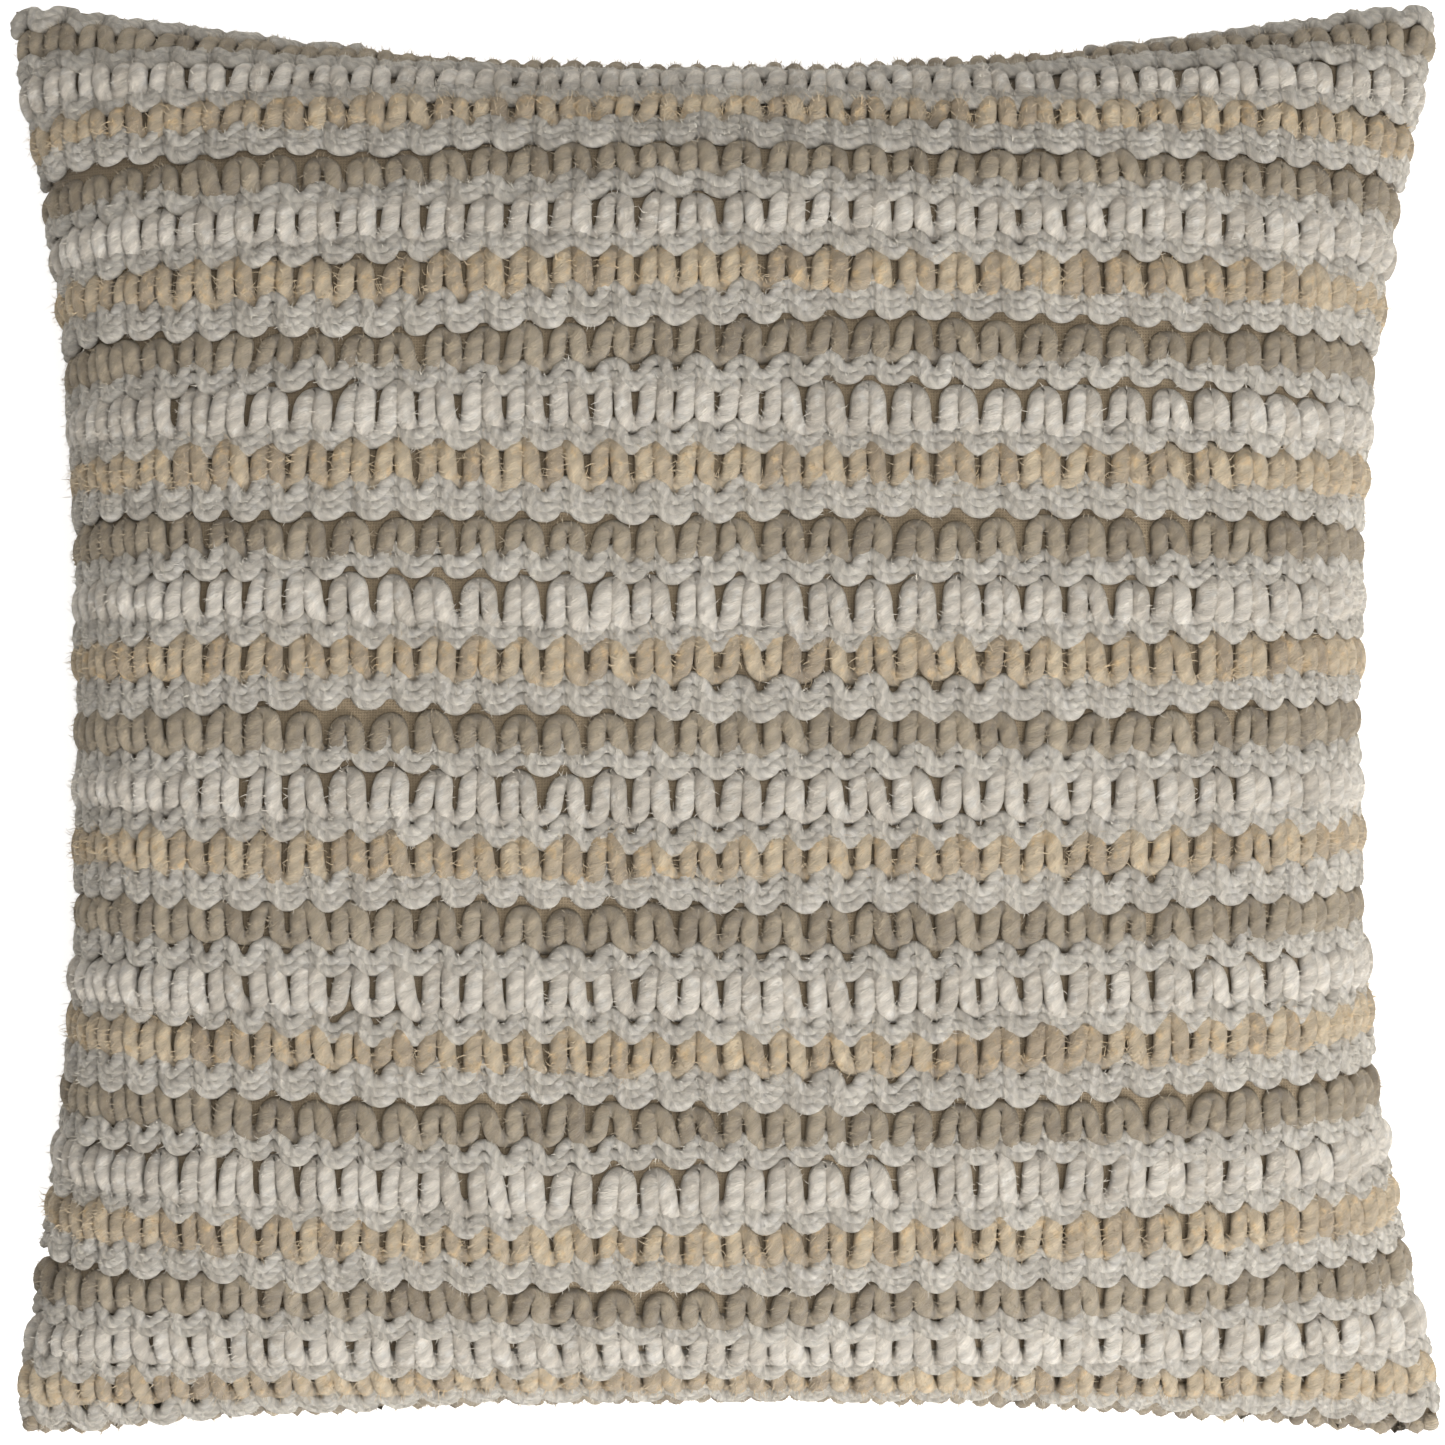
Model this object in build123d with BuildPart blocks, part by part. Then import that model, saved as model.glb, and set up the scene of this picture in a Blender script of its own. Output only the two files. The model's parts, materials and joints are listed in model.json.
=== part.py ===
"""Throw pillow: a 20 inch woven cover with a hidden zip, filled with a separate insert.

The pillow lies on its back. +Z is up, out of the woven face; +Y runs to the top edge and +X to
the right edge of the woven face. The origin is on the floor under the middle of the outline.
Every layer is one nested cushion shape, drawn as flat facets between points at set angles round
its arched profile, so the layers keep an even distance from each other.
"""

import math
import os

from build123d import *

os.makedirs("parts", exist_ok=True)

# ---------------------------------------------------------------- driving dimensions, millimetres

# Outline of the filled cover: middle of each edge, and the ear at each corner.
HALF_WIDTH = 223.5
HALF_HEIGHT = 232.25
EAR_REACH = 250.0
MIDDLE_DROP = 5.75  # the middles of the top and bottom edges lie this much below the corners' mean

# Profile: it arches up and down from the widest level, and is flat where it rests.
WIDEST_Z = 72.0
FRONT_RISE = 80.0
BACK_RISE = 84.0
ANGLES = (-90, -80, -65, -45, -22, 0, 22, 45, 65, 80, 90)

# Layers, as insets from the outside of the cover: edge, ear and face.
OUTSIDE = (0.0, 0.0, 0.0)
UNDER_ROWS = (3.8, 5.4, 6.2)
UNDER_GROUND = (5.0, 7.4, 7.7)
UNDER_BACK = (1.5, 2.5, 1.5)
ALLOWANCE_EDGE = (10.5, 16.0, 0.0)
OVERLOCK_EDGE = (11.9, 18.0, 0.0)
INSERT_FRONT = (13.5, 45.0, 8.2)
INSERT_BACK = (13.5, 45.0, 1.9)
FILLING_FRONT = (14.5, 46.2, 9.2)
FILLING_BACK = (14.5, 46.2, 2.9)

# The front and back of the cover meet at the widest level.
ALLOWANCE_THICKNESS = 1.0
OVERLOCK_THICKNESS = 3.0

# Woven face: distances along the cloth from its middle, towards the top edge.
REPEAT = 63.3
REPEATS = 8
FIRST_IVORY = 231.0
IVORY_WIDTH = 14.0
JUTE_OFFSET = 18.2
JUTE_WIDTH = 11.7
KHAKI_OFFSET = 40.0
KHAKI_WIDTH = 10.0
ROW_END_RATIO = 0.93  # row ends lie this much nearer the middle than the flat cloth does
ROW_UNDERSIDE = (2.2, 3.0, 4.6)  # inset of the rows' undersides: edge, ear and face
ROW_GAP = 0.15
ROW_SHOULDER = 0.55  # height of a row's sides, as a share of its crown's
CHAIN_CROWN = 0.65  # height of a chain row's crown, as a share of a coloured row's
SEAM_CLEARANCE_TOP = 0.3
SEAM_CLEARANCE_BOTTOM = 6.0
SEAM_CLEARANCE_SHARE = 0.3  # most of the arch's height that a seam clearance takes near the ears

# Zip, in the bottom seam: offsets across the seam and depths below the cover's surface.
COIL_INNER = 0.7
COIL_OUTER = 2.9
COIL_TOP = 6.3
TAPE_TOP = 8.0
TAPE_THICKNESS = 0.6
TAPE_WIDTH = 12.5
TAPE_BEND = 3.6  # the tapes lie flat this far out, then slope inward beside the cloth
TAPE_SLOPE = 0.82
COIL_HALF_LENGTH = 170.0
STOP_LENGTH = 2.5
TAPE_HALF_LENGTH = 182.0
SLOT_HALF_WIDTH = 5.5
SLOT_DEPTH = 12.5
SLOT_RIGHT = 184.0
SLOT_LEFT = 192.0

SLIDER_LENGTH = 12.0
SLIDER_WIDTH = 8.0
SLIDER_GAP = 1.0  # from the slider to a stop at either end of its travel
PLATE_THICKNESS = 1.0
OUTER_PLATE_TOP = 4.9
INNER_PLATE_TOP = 9.0
BAR_DEPTH = 2.6
BAR_RADIUS = 0.6
PULL_EYE_RADIUS = 0.95
PULL_HEAD_RADIUS = 1.6
PULL_HALF_WIDTH = 2.2
PULL_THICKNESS = 1.4
PULL_LENGTH = 22.0

# ---------------------------------------------------------------- cushion shapes


def cushion_point(across, upward, layer, rise, base=WIDEST_Z, floor=0.0):
    """Point of a cushion's surface, from its two angles on the arch, each from -90 to 90."""
    edge, ear, face = layer
    u = math.sin(math.radians(across))
    v = math.sin(math.radians(upward))
    reach = EAR_REACH - ear
    half_x = HALF_WIDTH - edge
    half_y = HALF_HEIGHT - edge
    x = (half_x + (reach - half_x) * v * v) * u
    y = (half_y + (reach - half_y) * u * u) * v - MIDDLE_DROP * (1 - u * u)
    arch = math.cos(math.radians(across)) * math.cos(math.radians(upward))
    inset_rise = math.copysign(abs(rise) - face, rise)
    return Vector(x, y, max(base + inset_rise * round(arch, 9), floor))


def surface(layer, rise, base=WIDEST_Z, floor=0.0):
    """Grid of points over the whole face of a cushion."""
    grid = []
    for upward in ANGLES:
        grid.append([cushion_point(across, upward, layer, rise, base, floor) for across in ANGLES])
    return grid


def skin(grid):
    """Flat triangles over a grid of points. They mirror about its middle, and none lies in a rim."""
    faces = []
    for level, (low, high) in enumerate(zip(grid, grid[1:])):
        for left in range(len(low) - 1):
            corners = [low[left], low[left + 1], high[left + 1], high[left]]
            if (2 * level < len(grid) - 1) != (2 * left < len(low) - 1):
                corners = corners[1:] + corners[:1]
            faces.append(Face(Wire.make_polygon(corners[:3], close=True)))
            faces.append(Face(Wire.make_polygon([corners[0], *corners[2:]], close=True)))
    return faces


def rim(grid):
    """The points round the edge of a grid, in order."""
    right = [row[-1] for row in grid[:-1]]
    left = [row[0] for row in grid[:0:-1]]
    return grid[0][:-1] + right + grid[-1][:0:-1] + left


def ring(outer, inner):
    """Flat ring between two outlines at one level."""
    return Face(Wire.make_polygon(outer, close=True), [Wire.make_polygon(inner, close=True)])


def wall(low, high):
    """Upright faces between two outlines, one above the other."""
    faces = []
    for index, point in enumerate(low):
        after = (index + 1) % len(low)
        faces.append(Face(Wire.make_polygon([point, low[after], high[after], high[index]], close=True)))
    return faces


def closed_solid(faces):
    """Solid bounded by faces that meet all round."""
    return Solid(Shell(faces))


def outline(layer, z):
    """Outline of a layer at the widest level, moved to a height."""
    return [Vector(point.X, point.Y, z) for point in rim(surface(layer, FRONT_RISE))]


# ---------------------------------------------------------------- where the zip runs


def bottom_edge_radius():
    """Radius of the arc that the bottom edge follows between its two ears."""
    bow = EAR_REACH - HALF_HEIGHT - MIDDLE_DROP
    return (EAR_REACH**2 + bow**2) / (2 * bow)


zip_radius = bottom_edge_radius()
zip_centre = Vector(0, -HALF_HEIGHT - MIDDLE_DROP - zip_radius, WIDEST_Z)
zip_axis = Axis(zip_centre, (0, 0, 1))


def zip_station(along):
    """Plane across the zip, a distance along it towards +X; x is up, y is out of the cover."""
    angle = along / zip_radius
    tangent = Vector(math.cos(angle), -math.sin(angle), 0)
    inward = Vector(math.sin(angle), math.cos(angle), 0)
    return Plane(origin=zip_centre + inward * zip_radius, x_dir=(0, 0, 1), z_dir=tangent)


def along_zip(start, end, profile):
    """Closed profile of (upward, depth) points, carried along the zip from start to end."""
    with BuildPart() as strip:
        with BuildSketch(zip_station(end)):
            with BuildLine():
                Polyline(*[(up, -depth) for up, depth in profile], close=True)
            make_face()
        revolve(axis=zip_axis, revolution_arc=math.degrees((end - start) / zip_radius))
    return strip.part


def block(up_low, up_high, depth_low, depth_high):
    """Rectangle profile for along_zip."""
    return [(up_low, depth_low), (up_high, depth_low), (up_high, depth_high), (up_low, depth_high)]


slot_profile = block(-SLOT_HALF_WIDTH, SLOT_HALF_WIDTH, -SLOT_DEPTH, SLOT_DEPTH)
zip_slot = along_zip(-SLOT_LEFT, SLOT_RIGHT, slot_profile)

# ---------------------------------------------------------------- cover: woven rows


def cloth_angle(along):
    """Angle on the side profile of a point of the cloth, from its distance along the cloth."""
    step = 0.0005
    angle = 0.0
    travelled = 0.0
    while travelled < abs(along):
        travelled += step * math.hypot(HALF_HEIGHT * math.cos(angle), FRONT_RISE * math.sin(angle))
        angle += step
    return math.degrees(math.copysign(angle, along))


def bowed(along):
    """Edge of a row: its upward angle for any position across, u from -1 to 1."""
    middle = cloth_angle(along)
    end = math.degrees(math.asin(ROW_END_RATIO * along / EAR_REACH))
    return lambda u: middle + (end - middle) * u * u


def beside_seam(side, clearance):
    """Edge of a row that stays a clearance above the seam, at the top (1) or bottom (-1)."""

    def angle(u):
        arch = FRONT_RISE * math.sqrt(1 - u * u)
        return side * math.degrees(math.acos(min(clearance / arch, SEAM_CLEARANCE_SHARE)))

    return angle


def raised(across, upward, share):
    """Point a share of the way from the underside of the rows to the outside of the cover."""
    foot = cushion_point(across, upward, ROW_UNDERSIDE, FRONT_RISE)
    crown = cushion_point(across, upward, OUTSIDE, FRONT_RISE)
    return foot + (crown - foot) * share


def row(high_edge, low_edge, crown_share=1.0):
    """One raised row of the weave, between two edges, from side seam to side seam."""
    gap = math.degrees(ROW_GAP / HALF_HEIGHT)
    sections = []
    for across in ANGLES[1:-1]:
        u = math.sin(math.radians(across))
        high = high_edge(u) - gap
        low = low_edge(u) + gap
        middle = (high + low) / 2
        section = [
            raised(across, middle, 0),
            raised(across, high, 0),
            raised(across, high, ROW_SHOULDER * crown_share),
            raised(across, middle, crown_share),
            raised(across, low, ROW_SHOULDER * crown_share),
            raised(across, low, 0),
        ]
        sections.append(section + section[:1])
    faces = skin(sections)
    for section in (sections[0], sections[-1]):
        for index in range(1, len(section) - 2):
            corners = [section[0], section[index], section[index + 1]]
            faces.append(Face(Wire.make_polygon(corners, close=True)))
    return closed_solid(faces)


def write(name, body):
    """Write one finished piece to its own file."""
    body.label = name
    export_step(body, f"parts/{name}.step")


for number in range(1, REPEATS + 1):
    ivory = FIRST_IVORY - REPEAT * (number - 1)
    jute = ivory - JUTE_OFFSET
    khaki = ivory + REPEAT - KHAKI_OFFSET
    next_khaki = ivory - KHAKI_OFFSET

    khaki_high = bowed(khaki + KHAKI_WIDTH / 2) if number > 1 else beside_seam(1, SEAM_CLEARANCE_TOP)
    khaki_low = bowed(khaki - KHAKI_WIDTH / 2)
    ivory_high = bowed(ivory + IVORY_WIDTH / 2)
    ivory_low = bowed(ivory - IVORY_WIDTH / 2)
    jute_high = bowed(jute + JUTE_WIDTH / 2)
    jute_low = bowed(jute - JUTE_WIDTH / 2)
    next_khaki_high = bowed(next_khaki + KHAKI_WIDTH / 2)

    write(f"weft_khaki_{number}", row(khaki_high, khaki_low))
    write(f"weft_ivory_{number}", row(ivory_high, ivory_low))
    write(f"weft_jute_{number}", row(jute_high, jute_low))

    upper_chain = row(khaki_low, ivory_high, CHAIN_CROWN)
    middle_chain = row(ivory_low, jute_high, CHAIN_CROWN)
    lower_chain = row(jute_low, next_khaki_high, CHAIN_CROWN)
    write(f"chain_rows_{number}", Compound(children=[upper_chain, middle_chain, lower_chain]))

last_khaki = row(next_khaki_high, beside_seam(-1, SEAM_CLEARANCE_BOTTOM))
write(f"weft_khaki_{REPEATS + 1}", last_khaki)

# ---------------------------------------------------------------- cover: cloths and seam


def cloth_faces(outer_layer, inner_layer, rise, thickness, floor):
    """Faces of one cloth of the cover, with its seam allowance turned in."""
    allowance_z = WIDEST_Z + thickness
    outer = surface(outer_layer, rise)
    inner_rise = math.copysign(abs(rise) - abs(thickness), rise)
    inner = surface(inner_layer, inner_rise, allowance_z, floor)
    allowance = outline(ALLOWANCE_EDGE, WIDEST_Z)
    allowance_inside = outline(ALLOWANCE_EDGE, allowance_z)
    faces = skin(outer) + skin(inner)
    faces.append(ring(rim(outer), allowance))
    faces.append(ring(rim(inner), allowance_inside))
    return faces + wall(allowance, allowance_inside)


with BuildPart() as front_ground_cloth:
    add(closed_solid(cloth_faces(UNDER_ROWS, UNDER_GROUND, FRONT_RISE, ALLOWANCE_THICKNESS, 0)))
    add(zip_slot, mode=Mode.SUBTRACT)
write("front_ground_cloth", front_ground_cloth.part)

with BuildPart() as back_panel:
    add(closed_solid(cloth_faces(OUTSIDE, UNDER_BACK, -BACK_RISE, -ALLOWANCE_THICKNESS, UNDER_BACK[2])))
    add(zip_slot, mode=Mode.SUBTRACT)
write("back_panel", back_panel.part)

with BuildPart() as seam_overlock:
    with BuildSketch(Plane.XY.offset(WIDEST_Z - OVERLOCK_THICKNESS / 2)):
        with BuildLine():
            Polyline(*[(point.X, point.Y) for point in outline(ALLOWANCE_EDGE, 0)], close=True)
        make_face()
        with BuildLine():
            Polyline(*[(point.X, point.Y) for point in outline(OVERLOCK_EDGE, 0)], close=True)
        make_face(mode=Mode.SUBTRACT)
    extrude(amount=OVERLOCK_THICKNESS)
    add(zip_slot, mode=Mode.SUBTRACT)
write("seam_overlock", seam_overlock.part)

LABEL_LENGTH = 26.0
LABEL_WIDTH = 24.0
LABEL_THICKNESS = 0.45
LABEL_CENTRE = (-221.0, -200.0)
LABEL_DEPTH = 1.9

with BuildPart() as care_label:
    with BuildSketch(Plane.XY.offset(WIDEST_Z - LABEL_DEPTH)):
        with Locations(LABEL_CENTRE):
            Rectangle(LABEL_LENGTH, LABEL_WIDTH)
    extrude(amount=LABEL_THICKNESS / 2, both=True)
write("care_label", care_label.part)

# ---------------------------------------------------------------- zip

HEM_NEAR = 5.8
HEM_FAR = 12.0
HEM_GAP = 0.15  # from a hem to its tape
HEM_FRONT = (8.2, 13.4)  # depths of a hem's outer side, at its near and far edges
HEM_BACK = (4.5, 9.0)
STITCH_NEAR = 9.0
STITCH_FAR = 9.8
STITCH_THICKNESS = 0.4
STOP_RISE = 0.3

stop_top = COIL_TOP - STOP_RISE
stop_end = COIL_HALF_LENGTH + STOP_LENGTH


def tape_depth(offset):
    """Depth of a tape's outer face, at an offset across the seam."""
    return TAPE_TOP + TAPE_SLOPE * max(offset - TAPE_BEND, 0)


def on_side(side, profile):
    """The same profile above (1) or below (-1) the seam."""
    return [(side * up, depth) for up, depth in profile]


def tape_length(side, profile):
    """Profile on one side of the seam, carried along the whole length of the zip's tapes."""
    return along_zip(-TAPE_HALF_LENGTH, TAPE_HALF_LENGTH, on_side(side, profile))


def coil_length(side, profile):
    """Profile on one side of the seam, carried along the zip's coils, from stop to stop."""
    return along_zip(-COIL_HALF_LENGTH, COIL_HALF_LENGTH, on_side(side, profile))


def along_tape(offsets, top, thickness):
    """Strip that follows a tape across the seam, at a distance below its outer face."""
    upper = [(offset, tape_depth(offset) + top) for offset in offsets]
    lower = [(offset, tape_depth(offset) + top + thickness) for offset in reversed(offsets)]
    return upper + lower


def hem_profile(outer_depths):
    """Turned-in cloth between a tape and its panel."""
    inner_near = (HEM_NEAR, tape_depth(HEM_NEAR) - HEM_GAP)
    inner_far = (HEM_FAR, tape_depth(HEM_FAR) - HEM_GAP)
    return [(HEM_NEAR, outer_depths[0]), (HEM_FAR, outer_depths[1]), inner_far, inner_near]


tape_profile = along_tape((COIL_INNER, TAPE_BEND, TAPE_WIDTH), 0, TAPE_THICKNESS)
stitch_profile = along_tape((STITCH_NEAR, STITCH_FAR), TAPE_THICKNESS, STITCH_THICKNESS)
coil_profile = block(COIL_INNER, COIL_OUTER, COIL_TOP, TAPE_TOP)
stop_profile = block(COIL_INNER, COIL_OUTER, stop_top, TAPE_TOP)

write("zip_tape_front", tape_length(1, tape_profile))
write("zip_tape_back", tape_length(-1, tape_profile))
write("zip_coil_front", coil_length(1, coil_profile))
write("zip_coil_back", coil_length(-1, coil_profile))
write("zip_hem_front", tape_length(1, hem_profile(HEM_FRONT)))
write("zip_hem_back", tape_length(-1, hem_profile(HEM_BACK)))

upper_stitches = tape_length(1, stitch_profile)
lower_stitches = tape_length(-1, stitch_profile)
write("zip_stitching", Compound(children=[upper_stitches, lower_stitches]))

upper_stop = along_zip(COIL_HALF_LENGTH, stop_end, on_side(1, stop_profile))
lower_stop = along_zip(COIL_HALF_LENGTH, stop_end, on_side(-1, stop_profile))
write("zip_top_stops", Compound(children=[upper_stop, lower_stop]))

bottom_stop_profile = block(-COIL_OUTER, COIL_OUTER, stop_top, TAPE_TOP)
bottom_stop = along_zip(-stop_end, -COIL_HALF_LENGTH, bottom_stop_profile)
write("zip_bottom_stop", bottom_stop)

PLATE_CORNER = 1.6
FLANGE_INNER = COIL_OUTER + 0.4
FLANGE_BOTTOM = 7.5
FLANGE_LENGTH = SLIDER_LENGTH - 2 * PLATE_CORNER
POST_WIDTH = 0.8
POST_LENGTH = 4.0
BAR_REACH = 3.3
CHEEK_THICKNESS = 0.7
CHEEK_LENGTH = 2.4

slider_rest = COIL_HALF_LENGTH - SLIDER_GAP - SLIDER_LENGTH / 2
across_zip = zip_station(slider_rest)
slider_top = Plane(origin=across_zip.origin, x_dir=across_zip.z_dir, z_dir=across_zip.y_dir)
slider_side = Plane(origin=across_zip.origin, x_dir=across_zip.z_dir, z_dir=across_zip.x_dir)
plate_middle = OUTER_PLATE_TOP + PLATE_THICKNESS / 2
flange_offset = (SLIDER_WIDTH / 2 + FLANGE_INNER) / 2
cheek_offset = BAR_REACH - CHEEK_THICKNESS / 2
cheek_top = BAR_DEPTH - BAR_RADIUS

with BuildPart() as zip_slider:
    for plate_top in (OUTER_PLATE_TOP, INNER_PLATE_TOP):
        with BuildSketch(slider_top.offset(-plate_top)):
            RectangleRounded(SLIDER_LENGTH, SLIDER_WIDTH, PLATE_CORNER)
        extrude(amount=-PLATE_THICKNESS)
    with BuildSketch(slider_top.offset(-plate_middle)):
        Rectangle(POST_LENGTH, POST_WIDTH)
    extrude(amount=-(INNER_PLATE_TOP + PLATE_THICKNESS / 2 - plate_middle))
    with BuildSketch(slider_top.offset(-plate_middle)):
        with Locations((0, flange_offset), (0, -flange_offset)):
            Rectangle(FLANGE_LENGTH, SLIDER_WIDTH / 2 - FLANGE_INNER)
    extrude(amount=-(FLANGE_BOTTOM - plate_middle))
    with BuildSketch(slider_top.offset(-cheek_top)):
        with Locations((0, cheek_offset), (0, -cheek_offset)):
            Rectangle(CHEEK_LENGTH, CHEEK_THICKNESS)
    extrude(amount=-(plate_middle - cheek_top))
    with BuildSketch(slider_side):
        with Locations((0, BAR_DEPTH)):
            Circle(BAR_RADIUS)
    extrude(amount=cheek_offset, both=True)
write("zip_slider", zip_slider.part)

with BuildPart() as zip_pull:
    with BuildSketch(slider_side):
        with Locations((-PULL_LENGTH / 2, BAR_DEPTH)):
            Rectangle(PULL_LENGTH, PULL_THICKNESS)
        with Locations((0, BAR_DEPTH)):
            Circle(PULL_HEAD_RADIUS)
        with Locations((0, BAR_DEPTH)):
            Circle(PULL_EYE_RADIUS, mode=Mode.SUBTRACT)
    extrude(amount=PULL_HALF_WIDTH, both=True)
write("zip_pull", zip_pull.part)

# ---------------------------------------------------------------- insert

front_outside = surface(INSERT_FRONT, FRONT_RISE)
front_inside = surface(FILLING_FRONT, FRONT_RISE)
back_outside = surface(INSERT_BACK, -BACK_RISE, floor=INSERT_BACK[2])
back_inside = surface(FILLING_BACK, -BACK_RISE, floor=FILLING_BACK[2])
insert_seam = ring(rim(front_outside), rim(front_inside))

write("insert_ticking_front", closed_solid(skin(front_outside) + skin(front_inside) + [insert_seam]))
write("insert_ticking_back", closed_solid(skin(back_outside) + skin(back_inside) + [insert_seam]))
write("insert_filling", closed_solid(skin(front_inside) + skin(back_inside)))

CLOSING_STITCHES = 14
CLOSING_PITCH = 6.0
CLOSING_X = -HALF_WIDTH + INSERT_FRONT[0] - 0.6

with BuildPart() as insert_closing_stitches:
    with BuildSketch(Plane.YZ.offset(CLOSING_X)):
        with Locations((0, WIDEST_Z)):
            with GridLocations(CLOSING_PITCH, 0, CLOSING_STITCHES, 1):
                Rectangle(1.0, 6.0, rotation=25)
    extrude(amount=0.4, both=True)
write("insert_closing_stitches", insert_closing_stitches.part)

TAG_LENGTH = 8.4
TAG_WIDTH = 30.0
TAG_THICKNESS = 0.4
TAG_CENTRE = (212.8, -140.0)

with BuildPart() as insert_label:
    with BuildSketch(Plane.XY.offset(WIDEST_Z)):
        with Locations(TAG_CENTRE):
            Rectangle(TAG_LENGTH, TAG_WIDTH)
    extrude(amount=TAG_THICKNESS / 2, both=True)
write("insert_label", insert_label.part)
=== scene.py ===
"""Throw pillow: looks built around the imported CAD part.

A closed bag is inflated with Blender's cloth, and its two faces become maps from the flat cloth to
the filled pillow. The rows of yarn are then laid on the front map stitch by stitch. Lengths are in
millimetres until a mesh is made; the floor, the lights and the camera are in metres.
"""

import json
import math

import bpy
import numpy as np
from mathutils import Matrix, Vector


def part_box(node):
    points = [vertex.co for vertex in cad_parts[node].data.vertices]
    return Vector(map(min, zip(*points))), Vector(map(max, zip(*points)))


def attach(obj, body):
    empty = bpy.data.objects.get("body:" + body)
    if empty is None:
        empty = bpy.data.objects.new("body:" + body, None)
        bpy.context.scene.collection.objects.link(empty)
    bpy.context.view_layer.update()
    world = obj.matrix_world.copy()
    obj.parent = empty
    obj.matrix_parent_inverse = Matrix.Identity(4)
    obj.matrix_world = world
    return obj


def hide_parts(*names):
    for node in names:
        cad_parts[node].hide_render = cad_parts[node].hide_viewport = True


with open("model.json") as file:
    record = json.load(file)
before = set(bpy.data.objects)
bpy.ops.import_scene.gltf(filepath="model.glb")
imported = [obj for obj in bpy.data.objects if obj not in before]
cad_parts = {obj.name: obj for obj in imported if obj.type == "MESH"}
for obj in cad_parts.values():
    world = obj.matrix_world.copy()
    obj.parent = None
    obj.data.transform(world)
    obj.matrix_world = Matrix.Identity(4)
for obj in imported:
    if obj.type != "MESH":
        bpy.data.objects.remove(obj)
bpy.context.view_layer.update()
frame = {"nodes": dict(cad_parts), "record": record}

# ---------------------------------------------------------------- dimensions, millimetres

FLAT = 508.0  # the cover's side before it is filled
HALF = FLAT / 2
HALF_WIDTH = 223.5  # of the filled pillow, at the middles of its sides
HALF_HEIGHT = 232.25  # and of its top and bottom edges
EAR = 250.0  # how far the ears reach to the sides
EAR_TOP = 248.5  # and towards the top and the bottom
DROP = 5.75  # the middles of the top and bottom edges both lie this much lower
SEAM_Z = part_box("back_panel")[1].z * 1000
FRONT_RISE = 80.0  # from the seam up to the crown of the rows
BACK_RISE = 84.0  # from the seam down to the back, before it flattens on the floor

SIDE_POWER = 2.3  # how late along a side it turns out to its ears
MIDDLE_SHIFT = 2.4  # the pillow's middle stands this far to the left
EAR_SHIFT = 3.0  # and its ears this far to the right of the middle
EAR_SHIFT_TILT = 0.3  # by this share less at the top, and more at the bottom
CORNER_START = 1.87  # the ears' rounding starts at this sum of the two shares of the way out
CORNER_SPAN = 0.13
TOP_ROLL = 3.6  # the seam's cloth shows this far past the rows along the top edge
CORNER_PULL = 3.4  # the ears' tips are rounded off by this much
COVER_EDGE = 5.8  # the cloth under the rows stops this far inside the outline, at the middles
COVER_EAR = 0.4  # and this far at the ears

STITCHES = 36
PITCH = FLAT / STITCHES  # from stitch to stitch along a row
REPEAT = 61.8  # from ivory row to ivory row, on the flat cloth
FIRST_IVORY = 225.6
JUTE_DROP = 17.4  # a jute row lies this far below its ivory row
KHAKI_RISE = 19.2  # and a khaki row this far above it


# ---------------------------------------------------------------- inflated bag

BAG_CELLS = 48  # along each side of the simulated bag
BAG_FRAMES = 11
SMOOTHING_ROUNDS = 36
BAG_LIFT = 12.0  # how far each face bulges before the pressure acts
RIM_SHARPNESS = 60  # power that keeps the height whole almost to the rim


def bag_grid(cells):
    """Flat closed bag: points, quads, and the point numbers of its front and back grids."""
    count = cells + 1
    steps = np.linspace(-HALF, HALF, count)
    across, up = np.meshgrid(steps, steps)
    lift = BAG_LIFT * (1 - (across / HALF) ** 2) * (1 - (up / HALF) ** 2)
    front = np.arange(count * count).reshape(count, count)
    inner = np.zeros((count, count), bool)
    inner[1:-1, 1:-1] = True
    back = front.copy()
    back[inner] = count * count + np.arange((count - 2) ** 2)
    top = np.stack([across, up, lift], -1).reshape(-1, 3)
    bottom = np.stack([across, up, -lift], -1)[inner]
    quads = np.vstack([grid_quads(front), grid_quads(back)[:, ::-1]])
    return np.vstack([top, bottom]), quads, front, back


def grid_quads(numbers):
    """Quads between neighbouring points of a grid."""
    corners = [numbers[:-1, :-1], numbers[:-1, 1:], numbers[1:, 1:], numbers[1:, :-1]]
    return np.stack(corners, -1).reshape(-1, 4)


def inflated(cells, frames):
    """Front and back grids of the bag after cloth simulation with pressure inside."""
    points, quads, front, back = bag_grid(cells)
    mesh = bpy.data.meshes.new("bag")
    mesh.from_pydata((points / 1000).tolist(), [], quads.tolist())
    bag = bpy.data.objects.new("bag", mesh)
    scene = bpy.context.scene
    scene.collection.objects.link(bag)
    modifier = bag.modifiers.new("inflate", "CLOTH")
    cloth = modifier.settings
    cloth.quality = 6
    cloth.mass = 0.3
    cloth.use_pressure = True
    cloth.uniform_pressure_force = 4.0
    cloth.tension_stiffness = 15
    cloth.compression_stiffness = 15
    cloth.shear_stiffness = 20
    cloth.bending_stiffness = 1.0
    cloth.effector_weights.gravity = 0
    modifier.collision_settings.use_collision = False
    scene.frame_start, scene.frame_end = 1, frames
    modifier.point_cache.frame_start, modifier.point_cache.frame_end = 1, frames
    for number in range(1, frames + 1):
        scene.frame_set(number)
    settled = bag.evaluated_get(bpy.context.evaluated_depsgraph_get()).data
    result = np.empty(len(settled.vertices) * 3)
    settled.vertices.foreach_get("co", result)
    result = result.reshape(-1, 3) * 1000
    bpy.data.objects.remove(bag)
    bpy.data.meshes.remove(mesh)
    scene.frame_set(1)
    return result[front], result[back]


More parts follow.
